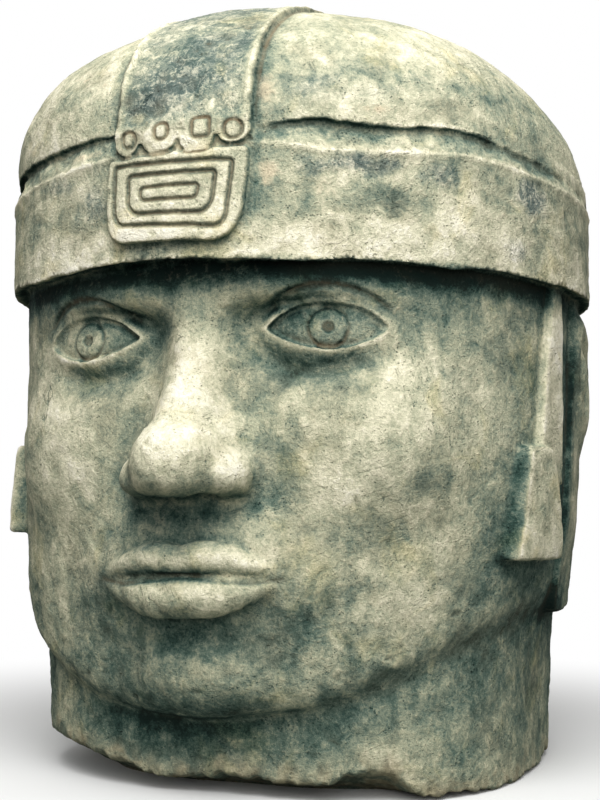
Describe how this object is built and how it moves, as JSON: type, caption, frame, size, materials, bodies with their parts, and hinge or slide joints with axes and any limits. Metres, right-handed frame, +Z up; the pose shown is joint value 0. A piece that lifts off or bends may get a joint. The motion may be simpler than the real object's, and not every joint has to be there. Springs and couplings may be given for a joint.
{
  "type": "colossal stone head",
  "caption": "Monumental carved stone head with a calm face, close helmet with brow band, crest strip and plaque, side straps and ear ornaments, on a short block with a broken lower rim.",
  "frame": {"origin": "on the ground, in the flat underside's plane, under the middle of the head's width and depth", "axes": "+Z up; the face looks along -Y; +X is towards the head's own left, the viewer's right"},
  "size_m": [2.081, 2.1382, 2.6272],
  "materials": {
    "stone": "matte, weathered grey-green with paler beige high parts"
  },
  "bodies": {
    "root": {"colossal_head": "stone"}
  },
  "joints": []
}
